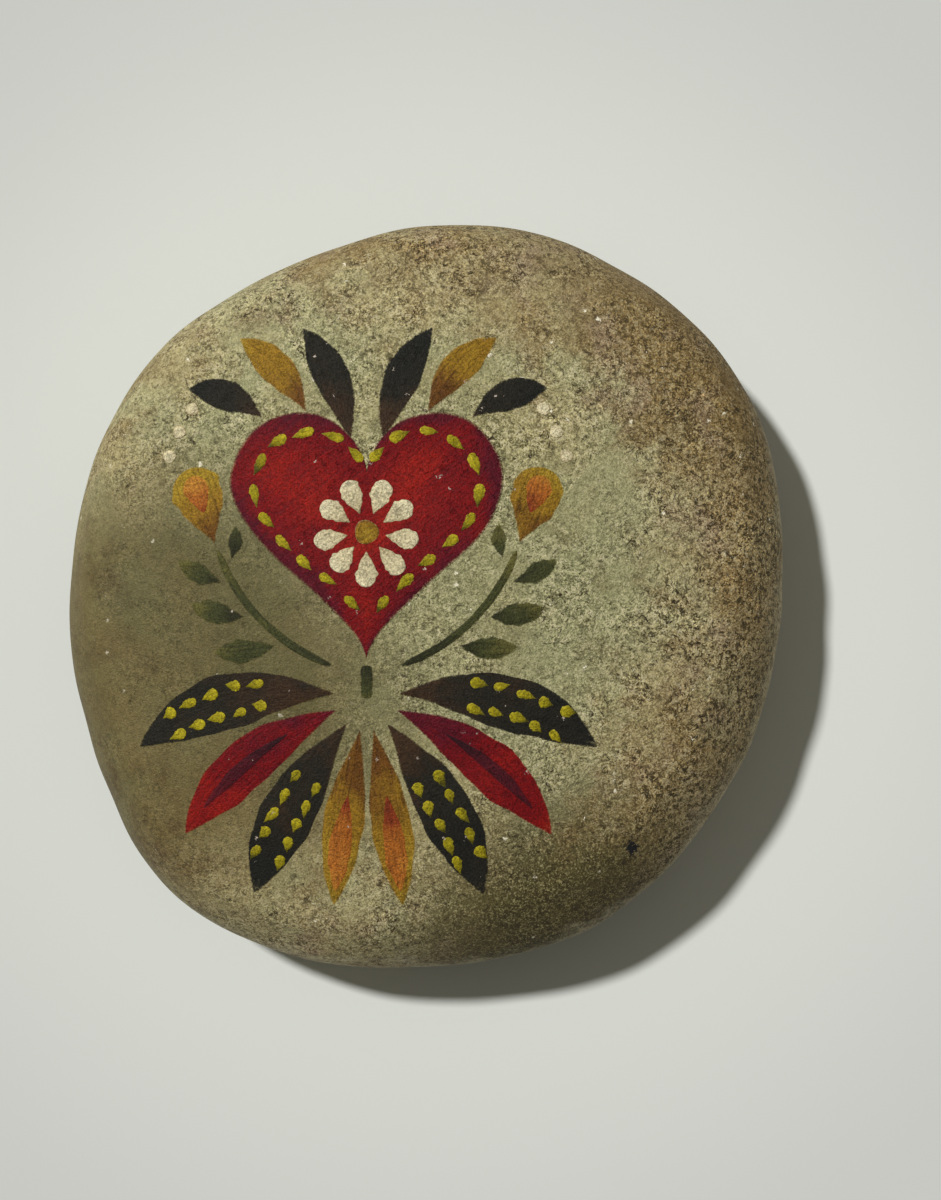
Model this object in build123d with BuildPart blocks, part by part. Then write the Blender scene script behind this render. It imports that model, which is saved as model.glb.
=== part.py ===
"""Painted pebble: a flat beach stone with a folk ornament brushed on its upper face.

The stone lies flat on the floor, +Z up, its resting face centred on the origin.
Every colour pass of the brush is a thin film that follows the crown of the stone.
"""
from build123d import *
import os
from math import atan2, cos, degrees, hypot, radians, sin

# Stone
MEAN_RADIUS = 46.2
# Waves round the outline: count, height, heading of a crest in degrees
OUTLINE_WAVES = (
    (1, 0.36, 267.0),
    (2, 1.63, 60.0),
    (3, 0.24, 34.0),
    (4, 0.63, 50.0),
    (5, 0.33, 13.0),
    (7, 0.22, 340.0),
)
OUTLINE_POINTS = 28
THICKNESS = 28.0
BELT_HEIGHT = 12.0
FOOT_INSET = 19.0
SHOULDER_INSET = 6.0
# Extra inset of the shoulder where the sea wore it most, and the heading of that side
SHOULDER_WEAR = 13.0
WEAR_HEADING = 308.0
CROWN_RADIUS = 150.0
CROWN_SHIFT_X = -3.0
CROWN_SHIFT_Y = 2.0
RIM_ROUNDING = 6.0

# Paint
COAT = 0.2
BRUSH_GAP = 0.5
RIM_MARGIN = 0.5

# Heart
PICTURE_X = -7.0
HEART_Y = 9.8
HEART_WIDTH = 33.0
HEART_HEIGHT = 30.0
HEART_POINTS = 16
HEART_DABS = 22
HEART_DAB_INSET = 3.0
DAB_LENGTH = 2.8
DAB_WIDTH = 1.3

# Daisy on the heart
DAISY_RISE = -2.2
DAISY_PETALS = 9
DAISY_CENTRE_RADIUS = 1.5
PETAL_LENGTH = 4.3
PETAL_WIDTH = 2.7

# Stem and side sprays: heading, bend, lengths and widths
STEM_LENGTH = 4.0
STEM_WIDTH = 1.6
SPRAY_HEADING = 20.0
SPRAY_BEND = 50.0
SPRAY_LENGTH = 20.0
SPRAY_WIDTH = 1.1
SPRAY_START_X = 4.2
BUD_LENGTH = 10.0
BUD_WIDTH = 6.4
BUD_TIP_SHARE = 0.52
# Leaves of a spray: place along the stem, side of the stem, length, width
SPRAY_LEAVES = ((0.34, -1, 7.4, 3.0), (0.58, -1, 7.0, 2.9), (0.82, -1, 6.0, 2.6), (0.92, 1, 4.2, 1.9))
LEAF_SPREAD = 50.0
LEAF_BEND = 26.0

# Fan of plumes below the stem: heading, length, width, bend
FAN_START = 3.4
DARK_FAN = ((8.0, 26.0, 7.0, -46.0), (-51.0, 24.6, 7.0, -20.0))
RED_FAN = ((-21.0, 25.0, 6.4, -36.0),)
OCHRE_FAN = ((-78.0, 22.4, 5.2, -6.0),)

# Crest above the heart: start beside the axis and above the heart, heading, length, width, bend
DARK_CREST = ((1.9, 8.4, 82.0, 15.6, 4.6, -30.0), (12.4, 11.4, 44.0, 10.4, 4.0, -44.0))
OCHRE_CREST = ((7.2, 12.0, 66.0, 12.8, 4.3, -36.0),)

# Dots either side of the crest
DOT_RADIUS = 0.85
DOT_ORBIT_X = 25.0
DOT_ORBIT_Y = 24.0
DOT_HEADINGS = (17.0, 24.5, 32.0)


def outline(inset, worn=0.0):
    """Points round the stone at an inset from its widest line, and a further one on the worn side."""
    points = []
    for step in range(OUTLINE_POINTS):
        turn = 360.0 * step / OUTLINE_POINTS
        reach = MEAN_RADIUS - inset - worn * (1 + cos(radians(turn - WEAR_HEADING))) / 2
        for count, height, heading in OUTLINE_WAVES:
            reach += height * cos(radians(count * (turn - heading)))
        points.append((reach * cos(radians(turn)), reach * sin(radians(turn))))
    return points


def along(stroke, share):
    """Point and heading at a share of the way along a bending stroke."""
    x, y, heading, length, width, bend = stroke
    pieces = 24
    for step in range(pieces):
        middle = radians(heading + bend * share * (step + 0.5) / pieces)
        x += length * share / pieces * cos(middle)
        y += length * share / pieces * sin(middle)
    return x, y, heading + bend * share


def beside(stroke, share, offset):
    """Point at an offset to the left of a stroke's middle line."""
    x, y, heading = along(stroke, share)
    return x - offset * sin(radians(heading)), y + offset * cos(radians(heading))


def paint_drop(stroke):
    """Brush dab with a round head where it starts and a drawn-out tail."""
    half = stroke[4] / 2
    shape = ((0.62, 0.66), (0.3, 1.0), (0.09, 0.72))
    right = [beside(stroke, share, -half * wide) for share, wide in shape]
    left = [beside(stroke, share, half * wide) for share, wide in reversed(shape)]
    tail = beside(stroke, 1.0, 0.0)
    head = beside(stroke, 0.0, 0.0)
    with BuildLine() as edge:
        Spline(tail, *right, head, *left, tail)
    make_face(edge.edges())


def paint_bud(stroke):
    """The same dab laid tail first, so that its round head lies at the far end."""
    x, y, heading = along(stroke, 1.0)
    paint_drop((x, y, heading + 180.0, stroke[3], stroke[4], -stroke[5]))


def paint_plume(stroke):
    """Long stroke, pressed down past the middle and lifted to a point at both ends."""
    half = stroke[4] / 2
    shape = ((0.12, 0.25), (0.32, 0.74), (0.56, 1.0), (0.78, 0.78), (0.92, 0.36))
    start = beside(stroke, 0.0, 0.0)
    end = beside(stroke, 1.0, 0.0)
    with BuildLine() as edge:
        Spline(start, *[beside(stroke, share, half * wide) for share, wide in shape], end)
        Spline(end, *[beside(stroke, share, -half * wide) for share, wide in reversed(shape)], start)
    make_face(edge.edges())


def paint_line(stroke):
    """Stem of even width with a square start and end."""
    half = stroke[4] / 2
    shares = (0.0, 0.25, 0.5, 0.75, 1.0)
    left = [beside(stroke, share, half) for share in shares]
    right = [beside(stroke, share, -half) for share in reversed(shares)]
    with BuildLine() as edge:
        Spline(*left)
        Line(left[-1], right[0])
        Spline(*right)
        Line(right[-1], left[0])
    make_face(edge.edges())


def heart_point(turn, width, height):
    """Point on the heart, from its cleft at 0 degrees round by its tip at 180."""
    angle = radians(turn)
    rise = 13 * cos(angle) - 5 * cos(2 * angle) - 2 * cos(3 * angle) - cos(4 * angle)
    return PICTURE_X + width / 2 * sin(angle) ** 3, HEART_Y + height * rise / 29


def paint_heart(width, height, mode=Mode.ADD):
    """Heart drawn as two mirrored lobes that meet at the cleft and the tip."""
    shares = [180.0 * step / HEART_POINTS for step in range(HEART_POINTS + 1)]
    with BuildLine() as edge:
        Spline(*[heart_point(turn, width, height) for turn in shares])
        Spline(*[heart_point(360.0 - turn, width, height) for turn in reversed(shares)])
    make_face(edge.edges(), mode=mode)


def mirrored(stroke):
    """The stroke and its twin on the other side of the picture's axis."""
    x, y, heading, length, width, bend = stroke
    return stroke, (2 * PICTURE_X - x, y, 180.0 - heading, length, width, -bend)


def fan(strokes):
    """Strokes that spring from the foot of the stem, on both sides."""
    laid = []
    for heading, length, width, bend in strokes:
        x = PICTURE_X + FAN_START * cos(radians(heading))
        y = fan_root_y + FAN_START * sin(radians(heading))
        laid.extend(mirrored((x, y, heading, length, width, bend)))
    return laid


def crest(strokes):
    """Strokes that spring from the upper edge of the heart, on both sides."""
    laid = []
    for beside_axis, above, heading, length, width, bend in strokes:
        laid.extend(mirrored((PICTURE_X + beside_axis, HEART_Y + above, heading, length, width, bend)))
    return laid


def follow_crown(coat):
    """Trim the raised strokes to one coat of paint on the crown of the stone."""
    with BuildSketch(Plane.XY.offset(BELT_HEIGHT)) as face:
        with BuildLine():
            Spline(*outline(RIM_ROUNDING + RIM_MARGIN), periodic=True)
        make_face()
    extrude(face.sketch, amount=THICKNESS, mode=Mode.INTERSECT)
    with Locations(crown_centre):
        Sphere(CROWN_RADIUS + coat * COAT, rotation=(90, 0, 0), mode=Mode.INTERSECT)
        Sphere(CROWN_RADIUS + (coat - 1) * COAT, rotation=(90, 0, 0), mode=Mode.SUBTRACT)


crown_centre = (CROWN_SHIFT_X, CROWN_SHIFT_Y, THICKNESS - CROWN_RADIUS)
face_plane = Plane.XY.offset(BELT_HEIGHT)
heart_tip_y = heart_point(180.0, HEART_WIDTH, HEART_HEIGHT)[1]
stem_stroke = (PICTURE_X, heart_tip_y - BRUSH_GAP, 270.0, STEM_LENGTH, STEM_WIDTH, 0.0)
fan_root_y = heart_tip_y - BRUSH_GAP - STEM_LENGTH
spray_strokes = mirrored((
    PICTURE_X + SPRAY_START_X, heart_tip_y - BRUSH_GAP, SPRAY_HEADING,
    SPRAY_LENGTH, SPRAY_WIDTH, SPRAY_BEND,
))

bud_strokes = []
bud_tip_strokes = []
leaf_strokes = []
for side, spray in zip((1, -1), spray_strokes):
    end_x, end_y, end_heading = along(spray, 1.0)
    ahead_x = cos(radians(end_heading))
    ahead_y = sin(radians(end_heading))
    bud_strokes.append((
        end_x + BRUSH_GAP * ahead_x, end_y + BRUSH_GAP * ahead_y, end_heading,
        BUD_LENGTH, BUD_WIDTH, 0.0,
    ))
    tip_start = BRUSH_GAP + BUD_LENGTH * (0.9 - BUD_TIP_SHARE)
    bud_tip_strokes.append((
        end_x + tip_start * ahead_x, end_y + tip_start * ahead_y, end_heading,
        BUD_LENGTH * BUD_TIP_SHARE, BUD_WIDTH * BUD_TIP_SHARE, 0.0,
    ))
    for share, hand, length, width in SPRAY_LEAVES:
        lean = side * hand
        leaf_x, leaf_y = beside(spray, share, lean * (SPRAY_WIDTH / 2 + BRUSH_GAP))
        leaf_heading = along(spray, share)[2] + lean * LEAF_SPREAD
        leaf_strokes.append((leaf_x, leaf_y, leaf_heading, length, width, -lean * LEAF_BEND))

dark_fan_strokes = fan(DARK_FAN)
red_fan_strokes = fan(RED_FAN)
ochre_fan_strokes = fan(OCHRE_FAN)
dark_crest_strokes = crest(DARK_CREST)
ochre_crest_strokes = crest(OCHRE_CREST)

# Beach-worn pebble: flat worn foot, rounded flank, low domed face
with BuildPart() as stone:
    for turn in (90.0, 62.0, 34.0, 0.0):
        lower = FOOT_INSET * (1 - cos(radians(turn)))
        with BuildSketch(Plane.XY.offset(BELT_HEIGHT * (1 - sin(radians(turn))))):
            with BuildLine():
                Spline(*outline(lower), periodic=True)
            make_face()
    for share in (0.5, 1.0):
        with BuildSketch(Plane.XY.offset(BELT_HEIGHT + (THICKNESS - BELT_HEIGHT) * share)):
            with BuildLine():
                Spline(*outline(SHOULDER_INSET * share ** 2, SHOULDER_WEAR * share ** 2), periodic=True)
            make_face()
    loft()
    with Locations(crown_centre):
        Sphere(CROWN_RADIUS, rotation=(90, 0, 0), mode=Mode.INTERSECT)
    fillet(stone.faces().sort_by(Axis.Z)[-1].edges(), RIM_ROUNDING)
stone.part.label = "stone"

# First coat: the red heart
with BuildPart() as red_heart:
    with BuildSketch(face_plane):
        paint_heart(HEART_WIDTH, HEART_HEIGHT)
    extrude(amount=THICKNESS)
    follow_crown(1)
red_heart.part.label = "red_heart"

# First coat: dark strokes of the crest, kept a gap clear of the heart
with BuildPart() as dark_crest:
    with BuildSketch(face_plane):
        for stroke in dark_crest_strokes:
            paint_plume(stroke)
        paint_heart(HEART_WIDTH + 2 * BRUSH_GAP, HEART_HEIGHT + 2 * BRUSH_GAP, Mode.SUBTRACT)
    extrude(amount=THICKNESS)
    follow_crown(1)
dark_crest.part.label = "dark_crest"

# First coat: ochre strokes of the crest
with BuildPart() as ochre_crest:
    with BuildSketch(face_plane):
        for stroke in ochre_crest_strokes:
            paint_plume(stroke)
        paint_heart(HEART_WIDTH + 2 * BRUSH_GAP, HEART_HEIGHT + 2 * BRUSH_GAP, Mode.SUBTRACT)
    extrude(amount=THICKNESS)
    follow_crown(1)
ochre_crest.part.label = "ochre_crest"

# First coat: dark plumes of the fan
with BuildPart() as dark_plumes:
    with BuildSketch(face_plane):
        for stroke in dark_fan_strokes:
            paint_plume(stroke)
    extrude(amount=THICKNESS)
    follow_crown(1)
dark_plumes.part.label = "dark_plumes"

# First coat: red plumes of the fan
with BuildPart() as red_plumes:
    with BuildSketch(face_plane):
        for stroke in red_fan_strokes:
            paint_plume(stroke)
    extrude(amount=THICKNESS)
    follow_crown(1)
red_plumes.part.label = "red_plumes"

# First coat: ochre plumes of the fan
with BuildPart() as ochre_plumes:
    with BuildSketch(face_plane):
        for stroke in ochre_fan_strokes:
            paint_plume(stroke)
    extrude(amount=THICKNESS)
    follow_crown(1)
ochre_plumes.part.label = "ochre_plumes"

# First coat: the short stem and the stems of both sprays
with BuildPart() as stems:
    with BuildSketch(face_plane):
        paint_line(stem_stroke)
        for stroke in spray_strokes:
            paint_line(stroke)
    extrude(amount=THICKNESS)
    follow_crown(1)
stems.part.label = "stems"

# First coat: leaves of the sprays
with BuildPart() as leaves:
    with BuildSketch(face_plane):
        for stroke in leaf_strokes:
            paint_plume(stroke)
        paint_heart(HEART_WIDTH + 2 * BRUSH_GAP, HEART_HEIGHT + 2 * BRUSH_GAP, Mode.SUBTRACT)
    extrude(amount=THICKNESS)
    follow_crown(1)
leaves.part.label = "leaves"

# First coat: ochre buds at the ends of the sprays
with BuildPart() as ochre_buds:
    with BuildSketch(face_plane):
        for stroke in bud_strokes:
            paint_bud(stroke)
        paint_heart(HEART_WIDTH + 2 * BRUSH_GAP, HEART_HEIGHT + 2 * BRUSH_GAP, Mode.SUBTRACT)
    extrude(amount=THICKNESS)
    follow_crown(1)
ochre_buds.part.label = "ochre_buds"

# First coat: cream dots set with the end of the brush handle
with BuildPart() as cream_dots:
    with BuildSketch(face_plane):
        for heading in DOT_HEADINGS:
            dot_x = DOT_ORBIT_X * cos(radians(heading))
            dot_y = HEART_Y + DOT_ORBIT_Y * sin(radians(heading))
            with Locations((PICTURE_X + dot_x, dot_y), (PICTURE_X - dot_x, dot_y)):
                Circle(DOT_RADIUS)
    extrude(amount=THICKNESS)
    follow_crown(1)
cream_dots.part.label = "cream_dots"

# Second coat: yellow dabs just inside the edge of the heart
with BuildPart() as heart_dabs:
    with BuildSketch(face_plane):
        inner_width = HEART_WIDTH - 2 * HEART_DAB_INSET
        inner_height = HEART_HEIGHT - 2 * HEART_DAB_INSET
        fine = [heart_point(180.0 * step / 90, inner_width, inner_height) for step in range(91)]
        walked = [0.0]
        for here, there in zip(fine, fine[1:]):
            walked.append(walked[-1] + hypot(there[0] - here[0], there[1] - here[1]))
        pairs = HEART_DABS // 2
        for number in range(pairs):
            goal = walked[-1] * (number + 1) / (pairs + 1)
            step = max(place for place in range(90) if walked[place] <= goal)
            rise = fine[step + 1][1] - fine[step][1]
            run = fine[step + 1][0] - fine[step][0]
            heading = degrees(atan2(rise, run))
            dab_x = fine[step][0] - DAB_LENGTH / 2 * cos(radians(heading))
            dab_y = fine[step][1] - DAB_LENGTH / 2 * sin(radians(heading))
            for stroke in mirrored((dab_x, dab_y, heading, DAB_LENGTH, DAB_WIDTH, 0.0)):
                paint_drop(stroke)
        with Locations((PICTURE_X, HEART_Y + DAISY_RISE)):
            Circle(DAISY_CENTRE_RADIUS + PETAL_LENGTH + 2 * BRUSH_GAP, mode=Mode.SUBTRACT)
    extrude(amount=THICKNESS)
    follow_crown(2)
heart_dabs.part.label = "heart_dabs"

# Second coat: cream petals of the daisy on the heart
with BuildPart() as daisy_petals:
    with BuildSketch(face_plane):
        for number in range(DAISY_PETALS):
            heading = 270.0 + 360.0 * number / DAISY_PETALS
            reach = DAISY_CENTRE_RADIUS + BRUSH_GAP
            petal_x = PICTURE_X + reach * cos(radians(heading))
            petal_y = HEART_Y + DAISY_RISE + reach * sin(radians(heading))
            paint_bud((petal_x, petal_y, heading, PETAL_LENGTH, PETAL_WIDTH, 0.0))
    extrude(amount=THICKNESS)
    follow_crown(2)
daisy_petals.part.label = "daisy_petals"

# Second coat: ochre centre of the daisy
with BuildPart() as daisy_centre:
    with BuildSketch(face_plane):
        with Locations((PICTURE_X, HEART_Y + DAISY_RISE)):
            Circle(DAISY_CENTRE_RADIUS)
    extrude(amount=THICKNESS)
    follow_crown(2)
daisy_centre.part.label = "daisy_centre"

# Second coat: yellow dabs in two rows on every dark plume
with BuildPart() as plume_dabs:
    with BuildSketch(face_plane):
        for stroke in dark_fan_strokes:
            for number in range(5):
                share = 0.34 + 0.105 * number
                for hand in (-1, 1):
                    dab_x, dab_y = beside(stroke, share, hand * 0.2 * stroke[4])
                    heading = along(stroke, share)[2] + hand * 6.0
                    paint_drop((dab_x, dab_y, heading, DAB_LENGTH * 0.82, DAB_WIDTH, 0.0))
    extrude(amount=THICKNESS)
    follow_crown(2)
plume_dabs.part.label = "plume_dabs"

# Second coat: deep crimson rib along each red plume
with BuildPart() as plume_ribs:
    with BuildSketch(face_plane):
        for stroke in red_fan_strokes:
            rib_x, rib_y, heading = along(stroke, 0.25)
            paint_plume((rib_x, rib_y, heading, stroke[3] * 0.6, stroke[4] * 0.26, stroke[5] * 0.6))
    extrude(amount=THICKNESS)
    follow_crown(2)
plume_ribs.part.label = "plume_ribs"

# Second coat: orange heart of each ochre plume
with BuildPart() as plume_tips:
    with BuildSketch(face_plane):
        for stroke in ochre_fan_strokes:
            tip_x, tip_y, heading = along(stroke, 0.36)
            paint_plume((tip_x, tip_y, heading, stroke[3] * 0.56, stroke[4] * 0.56, stroke[5] * 0.56))
    extrude(amount=THICKNESS)
    follow_crown(2)
plume_tips.part.label = "plume_tips"

# Second coat: orange tips of the buds
with BuildPart() as bud_tips:
    with BuildSketch(face_plane):
        for stroke in bud_tip_strokes:
            paint_bud(stroke)
    extrude(amount=THICKNESS)
    follow_crown(2)
bud_tips.part.label = "bud_tips"

os.makedirs("parts", exist_ok=True)
export_step(stone.part, "parts/stone.step")
export_step(red_heart.part, "parts/red_heart.step")
export_step(dark_crest.part, "parts/dark_crest.step")
export_step(ochre_crest.part, "parts/ochre_crest.step")
export_step(dark_plumes.part, "parts/dark_plumes.step")
export_step(red_plumes.part, "parts/red_plumes.step")
export_step(ochre_plumes.part, "parts/ochre_plumes.step")
export_step(stems.part, "parts/stems.step")
export_step(leaves.part, "parts/leaves.step")
export_step(ochre_buds.part, "parts/ochre_buds.step")
export_step(cream_dots.part, "parts/cream_dots.step")
export_step(heart_dabs.part, "parts/heart_dabs.step")
export_step(daisy_petals.part, "parts/daisy_petals.step")
export_step(daisy_centre.part, "parts/daisy_centre.step")
export_step(plume_dabs.part, "parts/plume_dabs.step")
export_step(plume_ribs.part, "parts/plume_ribs.step")
export_step(plume_tips.part, "parts/plume_tips.step")
export_step(bud_tips.part, "parts/bud_tips.step")
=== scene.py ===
import bpy
import numpy as np
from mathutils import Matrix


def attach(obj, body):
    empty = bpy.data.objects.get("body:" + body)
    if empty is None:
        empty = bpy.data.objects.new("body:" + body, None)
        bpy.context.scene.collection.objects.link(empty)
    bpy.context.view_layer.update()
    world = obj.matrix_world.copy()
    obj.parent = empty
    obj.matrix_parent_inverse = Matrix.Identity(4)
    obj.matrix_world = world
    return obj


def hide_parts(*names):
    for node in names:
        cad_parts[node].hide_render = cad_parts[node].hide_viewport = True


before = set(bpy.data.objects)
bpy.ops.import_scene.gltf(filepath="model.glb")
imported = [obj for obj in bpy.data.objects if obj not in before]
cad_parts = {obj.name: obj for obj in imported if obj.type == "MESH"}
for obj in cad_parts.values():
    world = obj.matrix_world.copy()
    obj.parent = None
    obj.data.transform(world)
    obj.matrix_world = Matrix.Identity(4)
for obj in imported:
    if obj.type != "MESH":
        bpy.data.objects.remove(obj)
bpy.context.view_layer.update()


# The stone: a flat beach pebble of fine-grained grey-green rock, rolled smooth by the sea.
# Its flat worn foot rests on the table and its low domed face carries the painting.
# The rim is stained tan and ochre, and the painted side has soaked up some varnish.

# Sizes are in mm; spots and heights in the colours of the rock are in metres
millimetre = 0.001
mean_reach = 46.2
widest_height = 12.0
crown_radius = 150.0
crown_x = -3.0
crown_y = 2.0
crown_z = -122.0
foot_inset = 19.0
shoulder_height = 16.0
least_worn = 6.0
more_worn = 6.5
worn_heading = np.radians(308.0)
rim_round = 6.0
core_height = 13.0
clear_height = 31.0


def pebble_outline(turn):
    """Reach of the widest line at each heading, in mm: a mean radius plus six cosine waves."""
    count = np.array([1, 2, 3, 4, 5, 7])
    height = np.array([0.36, 1.63, 0.24, 0.63, 0.33, 0.22])
    heading = np.radians([267.0, 60.0, 34.0, 50.0, 13.0, 340.0])
    waves = height * np.cos(count * (turn[..., None] - heading))
    return mean_reach + waves.sum(axis=-1)


wear_count = 16
wear_depth = 0.0026
wear_start = 4.0
wear_chance = np.random.default_rng(7)
wear_length = np.geomspace(6.0, 34.0, wear_count)
wear_heading = wear_chance.normal(size=(wear_count, 3))
wear_heading /= np.linalg.norm(wear_heading, axis=1, keepdims=True)
wear_wave = wear_heading * (2 * np.pi / wear_length)[:, None]
wear_phase = wear_chance.uniform(0.0, 2 * np.pi, wear_count)


def pebble_gap(x, y, z):
    """Signed gap to the pebble in mm, negative inside it. A sphere for the crown and a flank that
    leans in most where the sea wore it meet in a round: between the two faces the gap is the
    distance to the line that lies the round's radius inside both, less that radius. The foot is
    flat; sixteen plane cosine waves, higher as they get longer, stand for the fine wear."""
    turn = np.arctan2(y, x)
    from_x = x - crown_x
    from_y = y - crown_y
    from_z = z - crown_z
    crown = np.sqrt(from_x ** 2 + from_y ** 2 + from_z ** 2) - crown_radius
    below = np.clip((widest_height - z) / widest_height, 0.0, 1.0)
    above = np.clip((z - widest_height) / shoulder_height, 0.0, 2.0)
    worn = least_worn + more_worn * (1.0 + np.cos(turn - worn_heading))
    inset = foot_inset * (1.0 - np.sqrt(1.0 - below ** 2)) + worn * above ** 2
    slope = 2.0 * worn * above / shoulder_height
    steep = np.sqrt(1.0 + slope ** 2)
    flank = (np.hypot(x, y) - pebble_outline(turn) + inset) / steep
    outward = from_x * np.cos(turn) + from_y * np.sin(turn)
    likeness = (outward + from_z * slope) / ((crown + crown_radius) * steep)
    likeness = np.clip(likeness, -1.0, 0.999)
    to_crown = crown + rim_round
    to_flank = flank + rim_round
    between = (to_flank > to_crown * likeness) & (to_crown > to_flank * likeness)
    square = to_crown ** 2 + to_flank ** 2 - 2.0 * to_crown * to_flank * likeness
    rounded = np.sqrt(np.clip(square, 0.0, None) / (1.0 - likeness ** 2)) - rim_round
    body = np.where(between & (z > widest_height), rounded, np.maximum(crown, flank))
    phase = np.stack([x, y, z], axis=-1) @ wear_wave.T + wear_phase
    wear = (wear_depth * wear_length * np.cos(phase)).sum(axis=-1)
    wear = wear * np.clip(z / wear_start, 0.0, 1.0)
    return np.maximum(body - wear, -z)


def crown_height(x, y):
    """Height of the stone's upper face over each x and y in mm, by halving the span 36 times."""
    low = np.full(np.shape(x), core_height)
    high = np.full(np.shape(x), clear_height)
    for halving in range(36):
        middle = (low + high) / 2
        inside = pebble_gap(x, y, middle) < 0
        low = np.where(inside, middle, low)
        high = np.where(inside, high, middle)
    return low


def pebble_skin(rows, columns):
    """Rays from the middle of the stone through a guide profile, evenly spaced from the crown over
    the rim to the foot, cut where they leave the pebble. Rows run down, columns run round."""
    guide_reach = np.array([0.0, 20.0, 36.0, 42.0, 45.0, 46.0, 44.0, 38.0, 28.0, 14.0, 0.0])
    guide_height = np.array([28.0, 26.8, 23.6, 21.6, 18.0, 12.0, 6.0, 2.4, 0.0, 0.0, 0.0])
    guide_step = np.hypot(np.diff(guide_reach), np.diff(guide_height))
    walked = np.concatenate([[0.0], np.cumsum(guide_step)])
    place = np.linspace(0.0, walked[-1], rows)
    reach = np.interp(place, walked, guide_reach)[:, None]
    rise = np.interp(place, walked, guide_height)[:, None] - core_height
    turn = np.linspace(0.0, 2 * np.pi, columns, endpoint=False)[None, :]
    run_x = reach * np.cos(turn)
    run_y = reach * np.sin(turn)
    run_z = np.repeat(rise, columns, axis=1)
    near = np.full(run_x.shape, 0.2)
    far = np.full(run_x.shape, 1.9)
    for halving in range(40):
        middle = (near + far) / 2
        inside = pebble_gap(middle * run_x, middle * run_y, core_height + middle * run_z) < 0
        near = np.where(inside, middle, near)
        far = np.where(inside, far, middle)
    return np.stack([near * run_x, near * run_y, core_height + near * run_z], axis=-1)


def lay_mesh(name, points, faces, layers):
    """A smooth object at the origin from points in mm, with a UV map and named point values."""
    mesh = bpy.data.meshes.new(name)
    mesh.from_pydata((points * millimetre).tolist(), [], faces)
    mesh.polygons.foreach_set("use_smooth", np.ones(len(mesh.polygons), dtype=bool))
    for layer, values in layers.items():
        if layer == "brush":
            corner = np.empty(len(mesh.loops), dtype=np.int32)
            mesh.loops.foreach_get("vertex_index", corner)
            mesh.uv_layers.new(name="brush").data.foreach_set("uv", values[corner].ravel())
        else:
            mesh.attributes.new(layer, "FLOAT", "POINT").data.foreach_set("value", values.ravel())
    mesh.update()
    piece = bpy.data.objects.new(name, mesh)
    bpy.context.collection.objects.link(piece)
    return piece


def ring_faces(rows, columns, first):
    """Four-sided faces between neighbouring rows of a grid whose columns close on themselves."""
    row = np.arange(rows - 1)[:, None] * columns
    column = np.arange(columns)[None, :]
    ahead = (column + 1) % columns
    corners = [row + column, row + columns + column, row + columns + ahead, row + ahead]
    return (np.stack(corners, axis=-1).reshape(-1, 4) + first).tolist()


def cap_faces(centre, ring, columns, upward):
    """Three-sided faces from one point to a closed ring of the grid."""
    column = np.arange(columns)
    ahead = (column + 1) % columns
    sides = (ring + column, ring + ahead) if upward else (ring + ahead, ring + column)
    return np.stack([np.full(columns, centre), *sides], axis=-1).tolist()


def node(tree, kind, inputs, **settings):
    """One shader node; each input is a plain value or is joined to another node's output."""
    made = tree.nodes.new("ShaderNode" + kind)
    for key, value in settings.items():
        setattr(made, key, value)
    for key, value in inputs.items():
        if isinstance(value, bpy.types.NodeSocket):
            tree.links.new(value, made.inputs[key])
        else:
            made.inputs[key].default_value = value
    return made


def reckon(tree, operation, first, second=0.0):
    """One sum on two numbers."""
    return node(tree, "Math", {0: first, 1: second}, operation=operation).outputs[0]


def plus(tree, first, second):
    """Two numbers added."""
    return reckon(tree, "ADD", first, second)


def less(tree, first, second):
    """The second number taken from the first."""
    return reckon(tree, "SUBTRACT", first, second)


def times(tree, first, second):
    """Two numbers multiplied."""
    return reckon(tree, "MULTIPLY", first, second)


def apart(tree, place, spot):
    """Distance of a flat place from a spot of given x and y, in metres."""
    inputs = {0: place, 1: (*spot, 0.0)}
    return node(tree, "VectorMath", inputs, operation="DISTANCE").outputs["Value"]


def fade(tree, value, low, high):
    """0 below low, 1 above high and a smooth rise between; low above high makes it fall."""
    if low > high:
        return less(tree, 1.0, fade(tree, value, high, low))
    inputs = {"Value": value, "From Min": low, "From Max": high}
    return node(tree, "MapRange", inputs, interpolation_type="SMOOTHSTEP").outputs[0]


def tint(tree, share, first, second, blend="MIX"):
    """Two colours mixed by a share."""
    inputs = {0: share, 6: first, 7: second}
    return node(tree, "Mix", inputs, data_type="RGBA", blend_type=blend).outputs[2]


def shade(red, green, blue):
    """A colour written in screen values of 0 to 255, as the linear values that shaders take."""
    screen = np.array([red, green, blue]) / 255.0
    linear = np.where(screen <= 0.04045, screen / 12.92, ((screen + 0.055) / 1.055) ** 2.4)
    return (*linear.tolist(), 1.0)


def cloud(tree, place, scale, detail=3.0, rough=0.55, twist=0.0):
    """Noise value with features of about 1 / scale metres."""
    inputs = {"Vector": place, "Scale": scale, "Detail": detail, "Roughness": rough, "Distortion": twist}
    return node(tree, "TexNoise", inputs).outputs[0]


def swing(tree, value, size):
    """A noise value as a swing about nought of a given size."""
    return times(tree, less(tree, value, 0.5), size)


def thread(tree, place, scale, width, twist):
    """Thin curled threads: where noise crosses its middle value, within a small width."""
    value = cloud(tree, place, scale, 2.0, 0.6, twist)
    off = reckon(tree, "ABSOLUTE", less(tree, value, 0.5))
    return fade(tree, off, width, width * 0.25)


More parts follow.
